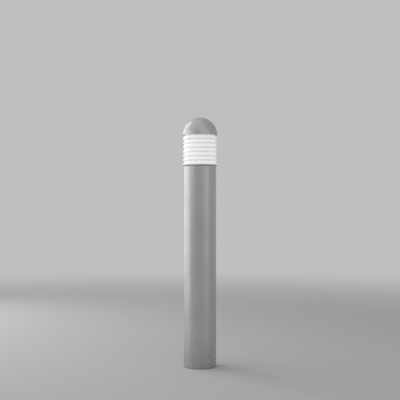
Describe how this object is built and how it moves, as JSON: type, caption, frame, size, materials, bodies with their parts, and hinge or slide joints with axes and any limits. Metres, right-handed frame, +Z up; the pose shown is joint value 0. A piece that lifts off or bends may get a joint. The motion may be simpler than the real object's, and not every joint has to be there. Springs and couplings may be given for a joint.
{
  "type": "glass bollard light",
  "caption": "Bollard light: a round aluminium post on a bolt-down base, with a ribbed opal glass under a domed metal cap.",
  "frame": {"origin": "centre of the base on the ground", "axes": "+Z up the axis of the post, -Y towards the front as pictured, +X to the right of the front"},
  "size_m": [0.14, 0.14, 1],
  "materials": {
    "cast_aluminium": "satin",
    "painted_aluminium": "satin",
    "stainless_steel": "satin",
    "zinc_steel": "satin",
    "black_rubber": "matte",
    "grey_rubber": "matte",
    "opal_glass": "gloss",
    "porcelain": "gloss",
    "brass": "satin",
    "lamp_glass": "satin",
    "grey_plastic": "matte",
    "pale_plastic": "matte"
  },
  "bodies": {
    "root": {"base_flange": "cast_aluminium", "base_countersunk_screws": "stainless_steel", "base_recessed_screws": "stainless_steel", "earth_stud": "stainless_steel", "earth_nuts": "stainless_steel", "earth_washers": "stainless_steel", "post_tube": "painted_aluminium", "head_carrier": "painted_aluminium", "carrier_seal_ring": "black_rubber", "head_set_screws": "stainless_steel", "lower_gasket": "grey_rubber", "glass_diffuser": "opal_glass", "upper_gasket": "grey_rubber", "cap": "painted_aluminium", "tie_rods": "stainless_steel", "tie_rod_seal_washers": "black_rubber", "tie_rod_nuts": "stainless_steel", "lamp_bracket": "zinc_steel", "bracket_screws": "stainless_steel", "lamp_holder": "porcelain", "lamp_holder_screws": "stainless_steel", "lamp_holder_shell": "brass", "lamp_centre_contact": "brass", "lamp": "lamp_glass", "gland_body": "grey_plastic", "gland_lock_nut": "grey_plastic", "gland_seal": "black_rubber", "gland_dome_nut": "grey_plastic", "terminal_plate": "zinc_steel", "terminal_plate_screws": "stainless_steel", "terminal_block": "pale_plastic", "terminal_screws": "zinc_steel", "terminal_block_screws": "stainless_steel"}
  },
  "joints": []
}
